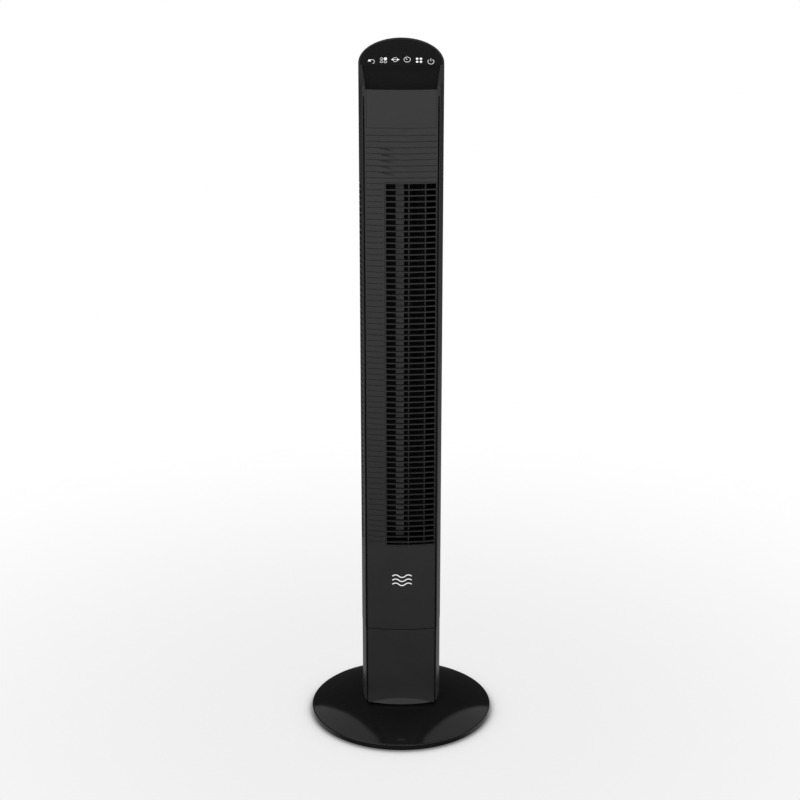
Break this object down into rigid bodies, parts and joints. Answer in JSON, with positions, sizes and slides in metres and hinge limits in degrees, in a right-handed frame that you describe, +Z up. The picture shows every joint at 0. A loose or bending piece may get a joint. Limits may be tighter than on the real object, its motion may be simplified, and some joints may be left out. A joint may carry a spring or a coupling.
{
  "type": "tower fan",
  "caption": "Tall tower fan with a tall front outlet grille, a cross-flow blower and a column that swings on a round weighted base.",
  "frame": {"origin": "centre of the round base on the floor", "axes": "+Z up along the swing axis, -Y to the front where the air leaves, +X to the right as seen from the front"},
  "size_m": [0.32, 0.32, 1.1804],
  "materials": {
    "base_gloss": "polished black ABS",
    "fascia_gloss": "polished black acrylic",
    "front_satin": "fine satin black ABS",
    "grille_satin": "fine satin black ABS",
    "housing_satin": "fine satin black ABS",
    "inner_plastic": "plain black moulding",
    "wheel_plastic": "plain black moulding",
    "rubber": "soft black rubber",
    "zinc_steel": "zinc-plated pressed steel",
    "steel": "bright steel",
    "acetal": "natural acetal",
    "bronze": "oil-filled sintered bronze",
    "lamination": "stacked lamination",
    "copper_wire": "enamelled winding",
    "circuit_board": "green solder mask",
    "component_black": "moulded component case"
  },
  "bodies": {
    "base": {"base_cover": "base_gloss", "base_bottom_plate": "inner_plastic", "rubber_feet": "rubber", "base_weight_plate": "zinc_steel", "base_screws": "steel", "cable_gland": "inner_plastic", "pivot_post": "zinc_steel", "pivot_post_screws": "steel", "swing_ring_gear": "acetal", "thrust_washer": "acetal", "retaining_plate": "zinc_steel", "retaining_screws": "steel"},
    "column": {"swing_bush": "acetal", "swing_plate": "inner_plastic", "swing_plate_screws": "steel", "swing_motor": "zinc_steel", "swing_motor_screws": "steel", "lower_front_cover": "front_satin", "lower_rear_cover": "housing_satin", "lower_cover_screws": "steel", "column_joint_screws": "steel", "front_panel": "front_satin", "display_window": "front_satin", "outlet_grille": "grille_satin", "rear_housing": "housing_satin", "housing_screws": "steel", "touch_panel": "fascia_gloss", "scoop": "fascia_gloss", "control_tray": "inner_plastic", "control_board": "circuit_board", "touch_springs": "steel", "control_board_screws": "steel", "display_module": "circuit_board", "ir_receiver": "component_black", "air_duct": "inner_plastic", "duct_tongue": "grille_satin", "duct_bottom_plate": "inner_plastic", "duct_top_plate": "inner_plastic", "top_bearing_rubber": "rubber", "top_bearing_bush": "bronze", "motor_stator": "lamination", "motor_windings": "copper_wire", "motor_lower_shell": "zinc_steel", "motor_upper_shell": "zinc_steel", "motor_bearings": "bronze", "motor_mount_rubbers": "rubber", "motor_screws": "steel", "power_board": "circuit_board", "power_board_screws": "steel", "motor_capacitor": "component_black"},
    "blower": {"blower_wheel": "wheel_plastic", "blower_hub": "rubber", "hub_set_screw": "steel", "top_pin": "steel", "motor_shaft": "steel", "motor_rotor": "lamination"},
    "pinion": {"swing_pinion": "acetal", "swing_motor_spindle": "steel"}
  },
  "joints": [
    {"name": "column_swing", "type": "hinge", "parent": "base", "child": "column", "pos_m": [0, 0, 0.05], "axis": [0, 0, 1], "range_deg": [-35, 35]},
    {"name": "blower_spin", "type": "hinge", "parent": "column", "child": "blower", "pos_m": [0.008, 0.018, 0.35], "axis": [0, 0, 1], "continuous": true},
    {"name": "pinion_spin", "type": "hinge", "parent": "column", "child": "pinion", "pos_m": [0.036, 0, 0.043], "axis": [0, 0, 1], "range_deg": [-105.5, 105.5]}
  ],
  "couplings": [
    {"joint": "pinion_spin", "follows": "column_swing", "ratio": 3}
  ]
}
